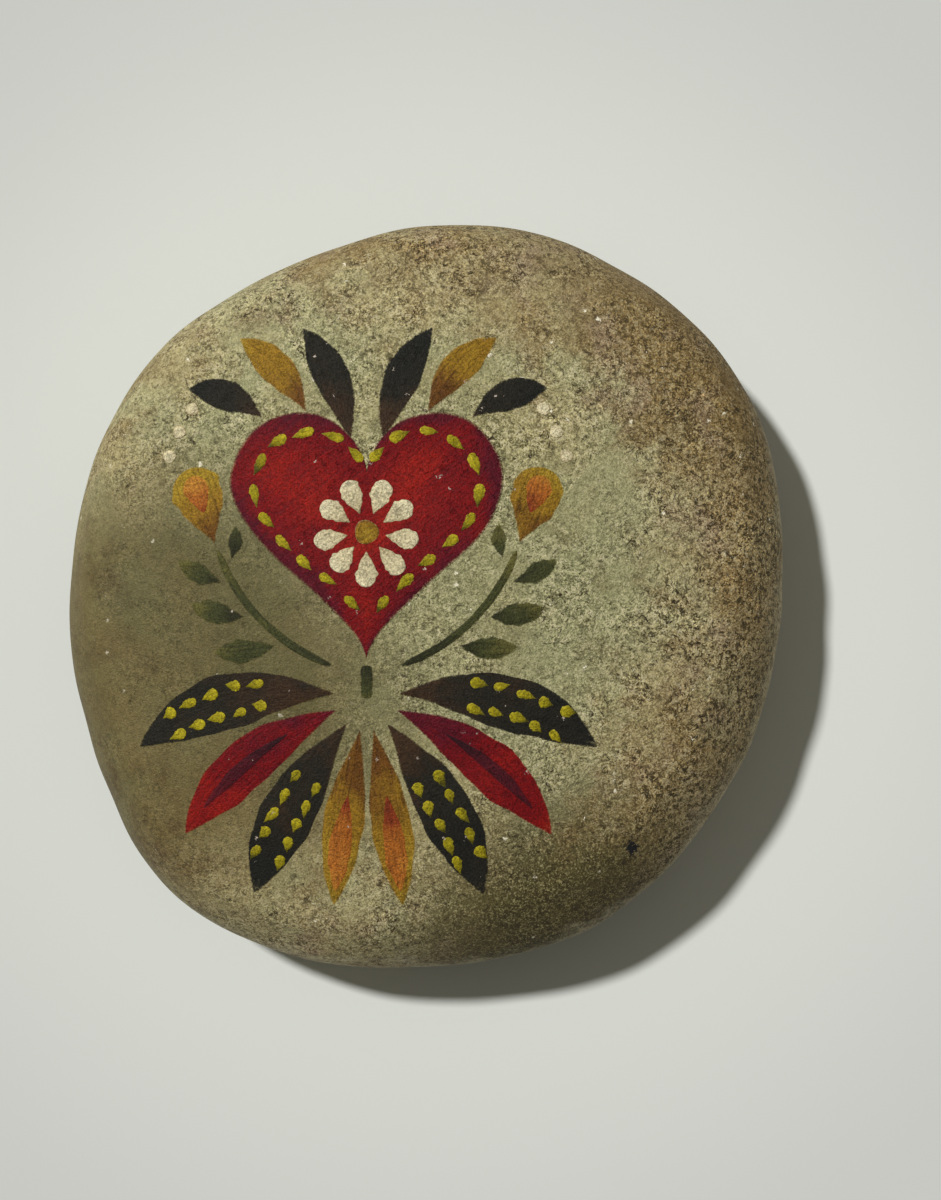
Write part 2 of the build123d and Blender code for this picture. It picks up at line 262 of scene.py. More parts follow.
def glints(tree, place, scale, channel, gather, least, ragged):
    """Painted glints: small pale specks of caught light at the middles of random cells, with ragged edges.
    A cell has one when its random colour in one channel, plus what gathers the specks in places, passes the
    least."""
    cell = node(tree, "TexVoronoi", {"Vector": place, "Scale": scale}, feature="F1")
    number = node(tree, "SeparateColor", {0: cell.outputs["Color"]}).outputs[channel]
    chosen = fade(tree, plus(tree, number, gather), least, least + 0.01)
    speck = fade(tree, plus(tree, cell.outputs["Distance"], ragged), 0.11, 0.01)
    return times(tree, speck, chosen)


def moved(tree, place, x, y, z):
    """The same place shifted, so that one noise can be used twice."""
    return node(tree, "VectorMath", {0: place, 1: (x, y, z)}, operation="ADD").outputs[0]


def emboss(tree, surface, height):
    """Fine relief that only the light feels, with grains about 0.3 mm high."""
    relief = node(tree, "Bump", {"Height": height, "Strength": 0.8, "Distance": 0.0003})
    tree.links.new(relief.outputs[0], surface.inputs["Normal"])


# Colour and grain of the rock, shared by the bare stone and by paint that is worn thin
rock = bpy.data.node_groups.new("rock", "ShaderNodeTree")
rock.interface.new_socket("Colour", in_out="OUTPUT", socket_type="NodeSocketColor")
rock.interface.new_socket("Grain", in_out="OUTPUT", socket_type="NodeSocketFloat")
rock.interface.new_socket("Varnish", in_out="OUTPUT", socket_type="NodeSocketFloat")
place = node(rock, "TexCoord", {}).outputs["Object"]
place_x, place_y, place_z = node(rock, "SeparateXYZ", {0: place}).outputs
flat = node(rock, "VectorMath", {0: place, 1: (1.0, 1.0, 0.0)}, operation="MULTIPLY").outputs[0]
radius = node(rock, "VectorMath", {0: flat}, operation="LENGTH").outputs["Value"]
broad = cloud(rock, place, 62.0, 3.0)
middle = cloud(rock, moved(rock, place, 0.3, 0.1, 0.7), 230.0, 4.0, 0.6)
grit = cloud(rock, moved(rock, place, 0.9, 0.4, 0.2), 4400.0, 1.0, 0.6, 0.5)
crumb = cloud(rock, moved(rock, place, 0.1, 0.7, 0.6), 1750.0, 3.0, 0.7, 0.9)

# The ground: pale grey-green, warmer and duller in patches, brown towards the rim
ground_green = shade(163, 158, 116)
ground_warm = shade(164, 152, 108)
ground_dull = shade(124, 112, 74)
rim_brown = shade(130, 108, 72)
body = tint(rock, fade(rock, broad, 0.38, 0.62), ground_green, ground_warm)
dull = times(rock, fade(rock, middle, 0.46, 0.70), 0.5)
body = tint(rock, dull, body, ground_dull)
lean = plus(rock, times(rock, place_x, 6.5), times(rock, place_y, 0.8))
out = plus(rock, times(rock, radius, 21.7), lean)
out = plus(rock, out, swing(rock, middle, 0.8))
rim = fade(rock, out, 0.60, 1.16)
body = tint(rock, times(rock, rim, 0.8), body, rim_brown)

# Stains of the rim: clouds of ochre, one brown stain at the upper right and rosy clouds
ochre_stain = shade(124, 94, 44)
brown_stain = shade(116, 92, 48)
brown_spot = (0.031, 0.028)
rosy_stain = shade(140, 118, 98)
ochre = cloud(rock, moved(rock, place, 0.05, 0.62, 0.0), 48.0, 2.0)
ochre = times(rock, fade(rock, ochre, 0.46, 0.62), fade(rock, out, 0.55, 0.95))
body = tint(rock, times(rock, ochre, 0.45), body, ochre_stain)
stain = plus(rock, apart(rock, flat, brown_spot), swing(rock, middle, 0.016))
stain = times(rock, fade(rock, stain, 0.021, 0.006), fade(rock, out, 0.78, 1.00))
body = tint(rock, times(rock, stain, 0.7), body, brown_stain)
rosy = cloud(rock, moved(rock, place, 0.41, 0.2, 0.3), 150.0, 3.0)
rosy = times(rock, fade(rock, rosy, 0.52, 0.68), fade(rock, out, 0.70, 1.00))
body = tint(rock, times(rock, rosy, 0.5), body, rosy_stain)

# A cooler ground round the picture, and a dark olive patch low on the right: partly an olive stain, partly
# painted shade on the side away from the lamp
cool_wash = shade(232, 238, 236)
cool_spot = (-0.006, 0.004)
olive_stain_and_shade = shade(72, 65, 31)
olive_spot = (0.016, -0.043)
near = plus(rock, apart(rock, flat, cool_spot), swing(rock, broad, 0.02))
body = tint(rock, fade(rock, near, 0.036, 0.022), body, cool_wash, "MULTIPLY")
# Partly painted shade: darker olive low on the right, away from the lamp
low = plus(rock, apart(rock, flat, olive_spot), swing(rock, middle, 0.018))
low = fade(rock, low, 0.027, 0.007)
body = tint(rock, times(rock, low, 0.9), body, olive_stain_and_shade)

# Varnish has soaked into the rock left of the picture: darker there and with less speckle
soak_spot = (-0.032, -0.012)
soak = plus(rock, apart(rock, flat, soak_spot), times(rock, broad, 0.016))
varnish = fade(rock, soak, 0.044, 0.024)
calm = less(rock, 1.0, times(rock, varnish, 0.55))
calm = less(rock, calm, times(rock, low, 0.05))
calm = less(rock, calm, times(rock, stain, 0.12))

# Grain: fine grit and coarser crumbs that lighten and darken the ground, more so towards the rim
bright_grain = shade(177, 170, 129)
cluster = fade(rock, cloud(rock, moved(rock, place, 0.6, 0.9, 0.1), 240.0, 2.0), 0.44, 0.62)
coarse = fade(rock, cloud(rock, moved(rock, place, 0.8, 0.2, 0.4), 75.0, 2.0), 0.40, 0.62)
high = fade(rock, place_y, 0.008, 0.030)
crowd = times(rock, rim, less(rock, 0.66, times(rock, high, 0.46)))
crowd = plus(rock, crowd, times(rock, cluster, 0.5))
crowd = plus(rock, crowd, times(rock, coarse, 0.45))
crowd = times(rock, plus(rock, crowd, 0.55), calm)
tone = plus(rock, swing(rock, grit, 2.8), swing(rock, crumb, 2.0))
tone = reckon(rock, "EXPONENT", times(rock, tone, crowd))
body = tint(rock, 1.0, body, tone, "MULTIPLY")
pale_share = less(rock, 0.55, times(rock, rim, 0.3))
lit = times(rock, fade(rock, tone, 1.05, 1.9), pale_share)
body = tint(rock, lit, body, bright_grain)

# Short curled dashes, dark and pale, then small pits that hold dirt and pale crumbs of quartz
dark_dash = shade(58, 48, 26)
pale_dash = shade(210, 199, 160)
pit_dirt = shade(54, 44, 24)
quartz_crumb = shade(214, 206, 174)
varnish_wash = shade(168, 160, 138)
gate = cloud(rock, moved(rock, place, 0.5, 0.1, 0.9), 1250.0, 1.0)
murk = times(rock, crowd, plus(rock, times(rock, rim, 0.45), 0.4))
gleam = times(rock, times(rock, pale_share, crowd), fade(rock, low, 1.0, 0.0))
curl = times(rock, thread(rock, place, 1050.0, 0.07, 1.4), fade(rock, gate, 0.47, 0.56))
body = tint(rock, times(rock, curl, murk), body, dark_dash)
thin = thread(rock, moved(rock, place, 0.4, 0.6, 0.2), 1200.0, 0.06, 1.4)
thin = times(rock, thin, fade(rock, gate, 0.53, 0.44))
body = tint(rock, times(rock, thin, gleam), body, pale_dash)
pit = cloud(rock, moved(rock, place, 0.2, 0.8, 0.5), 1300.0, 3.0, 0.7, 0.9)
pit = times(rock, fade(rock, pit, 0.42, 0.33), crowd)
body = tint(rock, times(rock, pit, 0.75), body, pit_dirt)
pale = cloud(rock, moved(rock, place, 0.7, 0.3, 0.8), 1600.0, 3.0, 0.75, 1.2)
pale = times(rock, fade(rock, pale, 0.60, 0.70), gleam)
body = tint(rock, pale, body, quartz_crumb)
body = tint(rock, varnish, body, varnish_wash, "MULTIPLY")

# Painted reflected light: pale patches along the widest part, on the shaded side towards the worn shoulder,
# standing for light bounced off the table onto that edge
painted_rim_light = shade(194, 184, 152)
rim_light_height = 0.0132
belt = reckon(rock, "ABSOLUTE", less(rock, place_z, rim_light_height))
belt = plus(rock, belt, swing(rock, middle, 0.012))
belt = plus(rock, belt, swing(rock, broad, 0.010))
shaded_side = less(rock, place_x, times(rock, place_y, 1.2))
rim_light = times(rock, fade(rock, belt, 0.0042, -0.0004), fade(rock, shaded_side, 0.0, 0.03))
rim_light = times(rock, rim_light, fade(rock, crumb, 0.30, 0.62))
# Painted reflected light laid into the colour along the belt
body = tint(rock, times(rock, rim_light, 0.75), body, painted_rim_light)

# Painted glints: sparse white specks painted in for light caught by the varnish and mica, ragged and
# gathered in places; and one black fleck
glint_white = shade(240, 232, 206)
fleck_black = shade(10, 9, 14)
fleck_spot = (0.0252, -0.0308)
painted_glint = glints(rock, place, 520.0, 0, times(rock, cluster, 0.06), 0.84, swing(rock, crumb, 1.1))
body = tint(rock, times(rock, painted_glint, calm), body, glint_white)
fleck = plus(rock, apart(rock, flat, fleck_spot), swing(rock, crumb, 0.0045))
body = tint(rock, fade(rock, fleck, 0.0009, 0.0006), body, fleck_black)
grain = plus(rock, times(rock, grit, 0.6), times(rock, crumb, 0.4))
grain = less(rock, grain, times(rock, pit, 0.25))
ends = rock.nodes.new("NodeGroupOutput")
rock.links.new(body, ends.inputs[0])
rock.links.new(grain, ends.inputs[1])
rock.links.new(varnish, ends.inputs[2])

stone_finish = bpy.data.materials.new("bare_stone")
stone_finish.use_nodes = True
tree = stone_finish.node_tree
surface = tree.nodes["Principled BSDF"]
rocky = tree.nodes.new("ShaderNodeGroup")
rocky.node_tree = rock
tree.links.new(rocky.outputs["Colour"], surface.inputs["Base Color"])
rough = less(tree, 0.75, times(tree, rocky.outputs["Varnish"], 0.2))
tree.links.new(rough, surface.inputs["Roughness"])
surface.inputs["Specular IOR Level"].default_value = 0.22
emboss(tree, surface, rocky.outputs["Grain"])

stone_rows = 236
stone_columns = 400
stone_points = pebble_skin(stone_rows, stone_columns)
stone_ring = stone_points[1:-1].reshape(-1, 3)
stone_poles = stone_points[[0, -1], 0]
stone_faces = ring_faces(stone_rows - 2, stone_columns, 0)
stone_faces += cap_faces(len(stone_ring), 0, stone_columns, True)
stone_faces += cap_faces(len(stone_ring) + 1, len(stone_ring) - stone_columns, stone_columns, False)
pebble = lay_mesh("pebble", np.concatenate([stone_ring, stone_poles]), stone_faces, {})
pebble.data.materials.append(stone_finish)
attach(pebble, "root")
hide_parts("stone")


# The red heart: the first and largest patch of paint, acrylic brushed on in two passes.
# It lies on the crown left of the stone's middle, thin at its edge, where rock shows through.

picture_x = -7.0
heart_y = 9.8
heart_width = 33.0
heart_height = 30.0
first_coat = 0.0
second_coat = 0.05
edge_dip = 0.012
patch_root = 0.6
brush_scale = 0.1
paint_chance = np.random.default_rng(23)


def film_layers(edge, along, brush):
    """Point values that the paint finish reads: nearness to the edge, share along, brush map."""
    return {"edge": edge, "along": along, "brush": brush}


def patch_film(name, centre, rims, lift, thick, rings, soft):
    """Closed films inside star-shaped rims: each rim is drawn in to its centre ring by ring, raised
    by the film's thickness with a soft shoulder at the edge, and closed by a point inside the stone.
    rims is an array of outlines in mm, each a row of points; centre has one point for each."""
    count, columns = rims.shape[:2]
    share = np.linspace(0.0, 1.0, rings + 1)[1:]
    spread = (rims - centre[:, None])[:, None] * share[None, :, None, None] + centre[:, None, None]
    reach = np.linalg.norm(rims - centre[:, None], axis=-1)[:, None, :]
    inward = (1.0 - share[None, :, None]) * reach
    height = lift - edge_dip + (thick + edge_dip) * (1.0 - np.exp(-inward / soft))
    ground = crown_height(spread[..., 0], spread[..., 1])
    grid = np.concatenate([spread, (ground + height)[..., None]], axis=-1)
    middle_ground = crown_height(centre[:, 0], centre[:, 1])
    top = np.concatenate([centre, (middle_ground + lift + thick)[:, None]], axis=-1)
    root = np.concatenate([centre, (middle_ground + lift - patch_root)[:, None]], axis=-1)
    points = np.concatenate([grid.reshape(count, -1, 3), top[:, None], root[:, None]], axis=1)
    points = points.reshape(-1, 3)
    size = rings * columns + 2
    faces = []
    for number in range(count):
        first = number * size
        faces += cap_faces(first + size - 2, first, columns, True)
        faces += ring_faces(rings, columns, first)
        faces += cap_faces(first + size - 1, first + (rings - 1) * columns, columns, False)
    none = np.zeros((count, 1))
    full = np.ones((count, 1))
    near = np.exp(-inward / np.minimum(0.6, 0.14 * reach))
    edge = np.concatenate([near.reshape(count, -1), none, full], axis=1)
    deep = 1.0 - np.exp(-inward / np.minimum(3.2, 0.3 * reach))
    along = np.concatenate([deep.reshape(count, -1), full, none], axis=1) * 0.8
    slant = brush_scale * np.array([[0.8, -0.6], [0.6, 0.8]])
    return lay_mesh(name, points, faces, film_layers(edge, along, points[:, :2] @ slant))


def paint_finish(name, root, main, tip, streak=0.2, wear=0.85):
    """Brushed paint under a thin satin varnish: one tone at the root or rim of a shape, one in its
    middle and one at its tip, streaked by the bristles, mottled, worn to the rock at thin edges."""
    finish = bpy.data.materials.new(name)
    finish.use_nodes = True
    tree = finish.node_tree
    surface = tree.nodes["Principled BSDF"]
    rocky = tree.nodes.new("ShaderNodeGroup")
    rocky.node_tree = rock
    grain = rocky.outputs["Grain"]
    place = node(tree, "TexCoord", {}).outputs["Object"]
    brush = node(tree, "UVMap", {}, uv_map="brush").outputs[0]
    edge = node(tree, "Attribute", {}, attribute_name="edge").outputs["Fac"]
    along = node(tree, "Attribute", {}, attribute_name="along").outputs["Fac"]
    drawn = node(tree, "Mapping", {"Vector": brush, "Scale": (2.0, 24.0, 1.0)}).outputs[0]
    bristle = cloud(tree, drawn, 1.0, 3.0, 0.6, 0.3)
    clouds = cloud(tree, place, 110.0, 3.0, 0.6)
    blend = plus(tree, along, swing(tree, clouds, 1.8))
    blend = plus(tree, blend, swing(tree, bristle, 0.5))
    colour = tint(tree, fade(tree, blend, 0.0, 0.5), root, main)
    colour = tint(tree, fade(tree, blend, 0.55, 1.05), colour, tip)
    dim = times(tree, fade(tree, bristle, 0.50, 0.32), streak)
    colour = tint(tree, dim, colour, shade(120, 112, 108), "MULTIPLY")
    mottle = plus(tree, swing(tree, grain, 3.2), 1.0)
    mottle = reckon(tree, "MAXIMUM", mottle, 0.62)
    colour = tint(tree, 1.0, colour, mottle, "MULTIPLY")
    thin = plus(tree, edge, swing(tree, grain, 0.7))
    thin = plus(tree, thin, swing(tree, bristle, 0.25))
    bare = times(tree, fade(tree, thin, 0.45, 0.95), wear)
    colour = tint(tree, bare, colour, rocky.outputs["Colour"])
    # Painted glints: pale pink specks painted into the paint for light caught by the satin varnish
    painted_glint = glints(tree, place, 620.0, 1, 0.0, 0.80, swing(tree, grain, 0.8))
    colour = tint(tree, times(tree, painted_glint, 0.7), colour, shade(222, 206, 190))
    tree.links.new(colour, surface.inputs["Base Color"])
    rough = plus(tree, times(tree, bristle, 0.2), 0.5)
    tree.links.new(rough, surface.inputs["Roughness"])
    surface.inputs["Specular IOR Level"].default_value = 0.14
    emboss(tree, surface, plus(tree, grain, times(tree, bristle, 0.5)))
    return finish


def heart_line(turn, width, height):
    """The heart curve: the cube of the sine across, and four cosines of growing count upwards."""
    rise = 13 * np.cos(turn) - 5 * np.cos(2 * turn) - 2 * np.cos(3 * turn) - np.cos(4 * turn)
    return np.stack([picture_x + width / 2 * np.sin(turn) ** 3, heart_y + height * rise / 29], axis=-1)


red_paint = paint_finish("red_paint", shade(80, 8, 24), shade(110, 10, 14), shade(136, 22, 13))
heart_turn = -np.linspace(0.0, 2 * np.pi, 300, endpoint=False)
heart_middle = np.array([[picture_x, heart_y]])
heart_waves = np.outer([5, 9, 14], heart_turn) + np.array([[0.4], [2.1], [4.0]])
heart_waver = 1.0 + 0.004 * np.cos(heart_waves).sum(axis=0)
heart_rim = heart_line(heart_turn, heart_width, heart_height) - heart_middle
heart_rim = (heart_middle + heart_rim * heart_waver[:, None])[None]
red_heart = patch_film(
    "red_heart_paint", heart_middle, heart_rim, first_coat, thick=0.06, rings=70, soft=0.4
)
red_heart.data.materials.append(red_paint)
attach(red_heart, "root")
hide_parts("red_heart")


# The crest: six plume strokes that stand on the heart's upper edge, each laid with one press and
# lift of a round brush, in near-black brown and in ochre.

lane_root = 0.3
least_half = 0.004


def stroke_line(stroke, share):
    """Point and heading along a stroke that turns evenly: an arc with a given total bend. A stroke
    is its start in x and y, heading, length, width and bend, in mm and degrees."""
    x, y, heading, length, width, bend = stroke
    start = np.radians(heading)
    curve = np.radians(bend) if abs(bend) > 1e-6 else 1e-6
    turn = start + curve * share
    line_x = x + length / curve * (np.sin(turn) - np.sin(start))
    line_y = y - length / curve * (np.cos(turn) - np.cos(start))
    return line_x, line_y, turn


def plume_press(share):
    """Half width of a plume: a sine that peaks past the middle, pointed at both ends."""
    return np.sin(np.pi * np.clip(share, 0.0, 1.0) ** 1.2) ** 0.9


def stroke_film(name, strokes, press, lift, thick, steps, lanes, wobble=0.12, dry=0.0):
    """Closed films along strokes: a low rounded profile across, scaled by the press of the brush and
    carried along the arc, with a wobble of its own on each edge and a tail that runs dry; the edges
    dip into what lies below and one hidden lane closes the film."""
    share = (1.0 - np.cos(np.pi * np.linspace(0.0, 1.0, steps))) / 2
    across = np.sin(np.pi / 2 * np.linspace(-1.0, 1.0, lanes))
    bulge = 1.0 - across ** 4
    waves = np.array([1.2, 2.1, 3.4, 5.3])[:, None]
    dry_tail = dry * np.clip((share - 0.72) / 0.28, 0.0, 1.0)[:, None]
    columns = lanes + 1
    points, edges, alongs, maps, faces = [], [], [], [], []
    for number, stroke in enumerate(strokes):
        length, width = stroke[3:5]
        phase = paint_chance.uniform(0.0, 2 * np.pi, (2, 4))
        shake = np.cos(2 * np.pi * waves * share + phase[0][:, None]).mean(axis=0)
        sway = np.cos(2 * np.pi * waves * share + phase[1][:, None]).mean(axis=0)
        line_x, line_y, turn = stroke_line(stroke, share)
        half = np.maximum(width / 2 * press(share), least_half)
        uneven = shake[:, None] * np.clip(across, 0.0, 1.0) + sway[:, None] * np.clip(-across, 0.0, 1.0)
        offset = half[:, None] * across * (1.0 + wobble * uneven)
        flat_x = line_x[:, None] - offset * np.sin(turn)[:, None]
        flat_y = line_y[:, None] + offset * np.cos(turn)[:, None]
        swell = np.clip(half / (0.16 * width), 0.0, 1.0)[:, None]
        height = crown_height(flat_x, flat_y) + lift - edge_dip + (thick + edge_dip) * bulge * swell
        film = np.stack([flat_x, flat_y, height], axis=-1)
        under = np.stack([line_x, line_y, crown_height(line_x, line_y) + lift - lane_root], axis=-1)
        points.append(np.concatenate([film, under[:, None]], axis=1).reshape(-1, 3))
        near = np.exp(-(1.0 - np.abs(across)) * half[:, None] / np.minimum(0.34, 0.16 * width))
        near = np.maximum(near, dry_tail)
        edges.append(np.concatenate([near, np.ones((steps, 1))], axis=1).ravel())
        alongs.append(np.repeat(share, columns))
        run = np.repeat((length * share)[:, None], columns, axis=1)
        side = np.concatenate([offset, np.zeros((steps, 1))], axis=1)
        shift = paint_chance.uniform(0.0, 40.0, 2)
        map_points = np.stack([run + shift[0], side + shift[1]], axis=-1).reshape(-1, 2)
        maps.append(map_points * brush_scale)
        faces += ring_faces(steps, columns, number * steps * columns)
    layers = film_layers(np.concatenate(edges), np.concatenate(alongs), np.concatenate(maps))
    return lay_mesh(name, np.concatenate(points), faces, layers)


def plume_film(name, strokes, steps, lanes):
    """First-coat plumes: nearly even edges, and a tail where the brush runs dry."""
    return stroke_film(
        name, strokes, plume_press, first_coat, thick=0.06, steps=steps, lanes=lanes, wobble=0.09, dry=0.6
    )


def both_sides(strokes):
    """Each stroke and its twin on the other side of the picture's axis."""
    twins = []
    for x, y, heading, length, width, bend in strokes:
        twins.append((2 * picture_x - x, y, 180.0 - heading, length, width, -bend))
    return [*strokes, *twins]


dark_paint = paint_finish("dark_paint", shade(58, 40, 24), shade(30, 27, 19), shade(20, 20, 16), streak=0.4)
dark_crest_strokes = both_sides([
    (picture_x + 1.9, heart_y + 8.4, 82.0, 15.6, 4.6, -30.0),
    (picture_x + 12.4, heart_y + 11.4, 44.0, 10.4, 4.0, -44.0),
])
dark_crest = plume_film("dark_crest_paint", dark_crest_strokes, steps=90, lanes=17)
dark_crest.data.materials.append(dark_paint)
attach(dark_crest, "root")
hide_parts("dark_crest")

ochre_root = shade(98, 62, 20)
ochre_main = shade(138, 104, 28)
ochre_tip = shade(152, 124, 36)
ochre_paint = paint_finish("ochre_paint", ochre_root, ochre_main, ochre_tip, streak=0.35)
ochre_crest_strokes = both_sides([(picture_x + 7.2, heart_y + 12.0, 66.0, 12.8, 4.3, -36.0)])
ochre_crest = plume_film("ochre_crest_paint", ochre_crest_strokes, steps=90, lanes=17)
ochre_crest.data.materials.append(ochre_paint)
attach(ochre_crest, "root")
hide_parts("ochre_crest")


# The fan: eight long plumes that spread from the foot of the stem, pressed full past the middle
# and lifted to a point, in dark brown, red and ochre.

heart_tip = heart_y - heart_height * 17 / 29
stem_top = heart_tip - 0.5
stem_length = 4.0
fan_root = stem_top - stem_length
fan_gap = 3.4


def fan_strokes(strokes):
    """Strokes that start on a small circle round the foot of the stem, on both sides."""
    laid = []
    for heading, length, width, bend in strokes:
        start_x = picture_x + fan_gap * np.cos(np.radians(heading))
        start_y = fan_root + fan_gap * np.sin(np.radians(heading))
        laid.append((start_x, start_y, heading, length, width, bend))
    return both_sides(laid)


dark_fan = fan_strokes([(8.0, 26.0, 7.0, -46.0), (-51.0, 24.6, 7.0, -20.0)])
dark_plumes = plume_film("dark_plume_paint", dark_fan, steps=130, lanes=23)
dark_plumes.data.materials.append(dark_paint)
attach(dark_plumes, "root")
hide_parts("dark_plumes")

red_fan = fan_strokes([(-21.0, 25.0, 6.4, -36.0)])
red_plumes = plume_film("red_plume_paint", red_fan, steps=130, lanes=23)
red_plumes.data.materials.append(red_paint)
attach(red_plumes, "root")
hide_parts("red_plumes")

ochre_fan = fan_strokes([(-78.0, 22.4, 5.2, -6.0)])
ochre_plumes = plume_film("ochre_plume_paint", ochre_fan, steps=120, lanes=21)
ochre_plumes.data.materials.append(ochre_paint)
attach(ochre_plumes, "root")
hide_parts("ochre_plumes")


# Stems and leaves: olive green lines drawn with the tip of the brush, and leaves pressed beside
# them, one stroke each.

def stem_press(share):
    """Half width of a stem: even, with softly rounded ends."""
    return np.sqrt(np.clip(1.0 - np.abs(2 * share - 1.0) ** 8, 0.0, 1.0))


def by_hand(strokes, turn, size):
    """The strokes as a hand lays them, each off by up to a turn in degrees and a share of its size."""
    laid = []
    for x, y, heading, length, width, bend in strokes:
        off = paint_chance.uniform(-1.0, 1.0, 4)
        long = length * (1.0 + size * off[1])
        wide = width * (1.0 + size * off[2])
        laid.append((x, y, heading + turn * off[0], long, wide, bend + 2.0 * turn * off[3]))
    return laid


olive_root = shade(40, 40, 22)
olive_main = shade(60, 62, 32)
olive_tip = shade(92, 88, 44)
olive_paint = paint_finish("olive_paint", olive_root, olive_main, olive_tip, streak=0.35)
spray_strokes = both_sides([(picture_x + 4.2, stem_top, 20.0, 20.0, 1.1, 50.0)])
stem_strokes = [(picture_x, stem_top, 270.0, stem_length, 1.6, 0.0), *spray_strokes]
stems = stroke_film(
    "stem_paint", stem_strokes, stem_press, first_coat, thick=0.05, steps=90, lanes=9
)
stems.data.materials.append(olive_paint)
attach(stems, "root")
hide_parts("stems")

# Each leaf: its share along the spray, its side, length and width
leaf_forms = ((0.34, -1, 7.4, 3.0), (0.58, -1, 7.0, 2.9), (0.82, -1, 6.0, 2.6), (0.92, 1, 4.2, 1.9))
leaf_gap = 1.05
leaf_spread = 50.0
leaf_bend = 26.0
leaf_strokes = []
for side, spray in zip((1, -1), spray_strokes):
    for share, hand, length, width in leaf_forms:
        away = side * hand
        leaf_x, leaf_y, leaf_turn = stroke_line(spray, share)
        leaf_x -= away * leaf_gap * np.sin(leaf_turn)
        leaf_y += away * leaf_gap * np.cos(leaf_turn)
        leaf_heading = np.degrees(leaf_turn) + away * leaf_spread
        leaf_strokes.append((leaf_x, leaf_y, leaf_heading, length, width, -away * leaf_bend))
leaf_strokes = by_hand(leaf_strokes, turn=4.0, size=0.06)
leaves = stroke_film(
    "leaf_paint", leaf_strokes, plume_press, first_coat, thick=0.06, steps=48, lanes=13, wobble=0.2, dry=0.4
)
leaves.data.materials.append(olive_paint)
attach(leaves, "root")
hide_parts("leaves")


# Buds: a fat ochre dab at the end of each spray, drawn out from a fine tail to a round head.
# When it was dry, a smaller orange dab was laid on it as a second coat.

bud_gap = 0.5
bud_tip_gap = 4.3


def drop_press(share):
    """Half width of a dab: a quarter circle at its head, then a cosine drawn out to its tail."""
    head = np.sqrt(np.clip(1.0 - (1.0 - share / 0.3) ** 2, 0.0, 1.0))
    tail = np.cos(np.pi / 2 * np.clip((share - 0.3) / 0.7, 0.0, 1.0)) ** 1.5
    return np.where(share < 0.3, head, tail)


def bud_press(share):
    """The same dab laid tail first."""
    return drop_press(1.0 - share)


bud_strokes = []
bud_tip_strokes = []
for spray in spray_strokes:
    bud_x, bud_y, bud_turn = stroke_line(spray, 1.0)
    ahead_x = np.cos(bud_turn)
    ahead_y = np.sin(bud_turn)
    bud_heading = np.degrees(bud_turn)
    bud_start = (bud_x + bud_gap * ahead_x, bud_y + bud_gap * ahead_y)
    bud_strokes.append((*bud_start, bud_heading, 10.0, 6.4, 0.0))
    bud_tip_start = (bud_x + bud_tip_gap * ahead_x, bud_y + bud_tip_gap * ahead_y)
    bud_tip_strokes.append((*bud_tip_start, bud_heading, 5.2, 3.33, 0.0))
ochre_buds = stroke_film(
    "ochre_bud_paint", bud_strokes, bud_press, first_coat, thick=0.07, steps=60, lanes=21
)
ochre_buds.data.materials.append(ochre_paint)
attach(ochre_buds, "root")
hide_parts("ochre_buds")

orange_root = shade(122, 50, 22)
orange_main = shade(158, 92, 32)
orange_tip = shade(174, 118, 44)
orange_paint = paint_finish("orange_paint", orange_root, orange_main, orange_tip, streak=0.35, wear=0.0)
bud_tips = stroke_film(
    "bud_tip_paint", bud_tip_strokes, bud_press, second_coat, thick=0.07, steps=40, lanes=15
)
bud_tips.data.materials.append(orange_paint)
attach(bud_tips, "root")
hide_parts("bud_tips")


# Dots: three beads of cream paint above each bud, set down with the end of the brush handle.
# The paint is thick and dries as a small raised bead.

dot_radius = 0.85
dot_reach = 25.0
dot_rise = 24.0
cream_rim = shade(160, 144, 106)
cream_main = shade(200, 188, 150)
cream_middle = shade(212, 202, 166)
cream_paint = paint_finish("cream_paint", cream_rim, cream_main, cream_middle, wear=0.55)


def discs(middles, radius, columns):
    """Rims of round dots with a slight hand-made waver of three waves."""
    turn = np.linspace(0.0, 2 * np.pi, columns, endpoint=False)
    waver = 1.0 + 0.05 * np.cos(3 * turn + 1.7 * np.arange(len(middles))[:, None])
    ring = np.stack([np.cos(turn) * waver, np.sin(turn) * waver], axis=-1)
    return middles[:, None] + radius * ring


dot_turn = np.radians([17.0, 24.5, 32.0])
dot_x = dot_reach * np.cos(dot_turn)
dot_y = heart_y + dot_rise * np.sin(dot_turn)
right_dots = np.stack([picture_x + dot_x, dot_y], axis=-1)
left_dots = np.stack([picture_x - dot_x, dot_y], axis=-1)
dot_middles = np.concatenate([right_dots, left_dots])
dot_rims = discs(dot_middles, dot_radius, 36)
cream_dots = patch_film(
    "cream_dot_paint", dot_middles, dot_rims, first_coat, thick=0.14, rings=7, soft=0.25
)
cream_dots.data.materials.append(cream_paint)
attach(cream_dots, "root")
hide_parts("cream_dots")


# The daisy on the heart: nine cream petals, each one dab drawn outwards, round an ochre centre.
# They lie on the dry red as a second coat.

daisy_y = heart_y - 2.2
daisy_radius = 1.5
petal_gap = 2.0
petal_length = 4.3
petal_width = 2.7
petal_strokes = []
for petal_turn in np.radians(270.0 + 40.0 * np.arange(9)):
    petal_x = picture_x + petal_gap * np.cos(petal_turn)
    petal_y = daisy_y + petal_gap * np.sin(petal_turn)
    petal_strokes.append((petal_x, petal_y, np.degrees(petal_turn), petal_length, petal_width, 0.0))
petal_strokes = by_hand(petal_strokes, turn=3.0, size=0.07)
daisy_petals = stroke_film(
    "daisy_petal_paint", petal_strokes, bud_press, second_coat, thick=0.09, steps=36, lanes=13, wobble=0.2
)
daisy_petals.data.materials.append(cream_paint)
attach(daisy_petals, "root")
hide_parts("daisy_petals")

